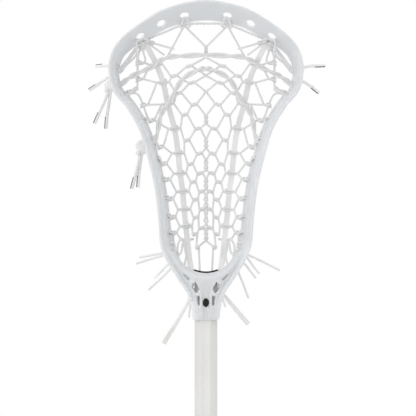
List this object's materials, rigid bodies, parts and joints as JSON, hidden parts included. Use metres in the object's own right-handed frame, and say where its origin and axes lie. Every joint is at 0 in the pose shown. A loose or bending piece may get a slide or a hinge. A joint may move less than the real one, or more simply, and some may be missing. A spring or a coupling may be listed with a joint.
{
  "type": "lacrosse stick",
  "caption": "Women's lacrosse stick: moulded white head with a woven crosslace and thong pocket on an octagonal painted alloy shaft with a push-on end cap.",
  "frame": {"origin": "centre of the end cap's bottom face, on the shaft's axis", "axes": "+Z along the shaft towards the head; -Y is the side of the head's open face; +Y is the side of the pocket; +X to the right seen from the face side"},
  "size_m": [0.2327, 0.0603, 1.0884],
  "materials": {
    "head_plastic": "moulded nylon, satin to gloss",
    "shaft_paint": "white satin paint on drawn alloy tube",
    "cap_rubber": "matte moulded rubber",
    "screw_steel": "plated steel",
    "stop_rubber": "black foam rubber",
    "inlay_plastic": "black plastic",
    "string_fabric": "braided nylon string",
    "lace_fabric": "flat woven lace",
    "thong_leather": "white synthetic leather strap",
    "aglet_plastic": "shrunk film lace tip"
  },
  "bodies": {
    "stick": {"shaft": "shaft_paint", "head": "head_plastic", "ball_stop": "stop_rubber", "throat_inlay": "inlay_plastic", "thong_left": "thong_leather", "thong_right": "thong_leather", "top_string": "string_fabric", "sidewall_string_left": "string_fabric", "sidewall_string_right": "string_fabric", "crosslace_left": "string_fabric", "crosslace_right": "string_fabric", "shooting_upper_a": "lace_fabric", "shooting_upper_b": "lace_fabric", "shooting_lower_a": "lace_fabric", "shooting_lower_b": "lace_fabric", "lace_stub_left": "lace_fabric", "lace_stub_right": "lace_fabric", "knot_left_upper": "lace_fabric", "knot_left_lower": "lace_fabric", "tail_1": "lace_fabric", "tail_2": "lace_fabric", "tail_3": "lace_fabric", "tail_4": "lace_fabric", "tail_5": "lace_fabric", "tail_6": "lace_fabric", "tail_7": "lace_fabric", "tail_8": "lace_fabric", "tail_9": "string_fabric", "tail_10": "string_fabric", "tail_11": "string_fabric", "tail_12": "string_fabric", "tail_13": "string_fabric", "tail_14": "string_fabric", "tail_15": "string_fabric", "tail_16": "string_fabric", "thong_tail_left": "thong_leather", "thong_tail_right": "thong_leather", "string_tail_left": "string_fabric", "string_tail_right": "string_fabric", "aglet_1": "aglet_plastic", "aglet_2": "aglet_plastic", "aglet_3": "aglet_plastic", "aglet_4": "aglet_plastic", "aglet_5": "aglet_plastic", "aglet_6": "aglet_plastic", "aglet_7": "aglet_plastic", "aglet_8": "aglet_plastic"},
    "cap": {"end_cap": "cap_rubber"},
    "screw": {"head_screw": "screw_steel"}
  },
  "joints": [
    {"name": "cap_pull", "type": "slide", "parent": "stick", "child": "cap", "axis": [0, 0, -1], "range_m": [0, 0.035]},
    {"name": "screw_out", "type": "slide", "parent": "stick", "child": "screw", "axis": [0, 1, 0], "range_m": [0, 0.018]}
  ]
}
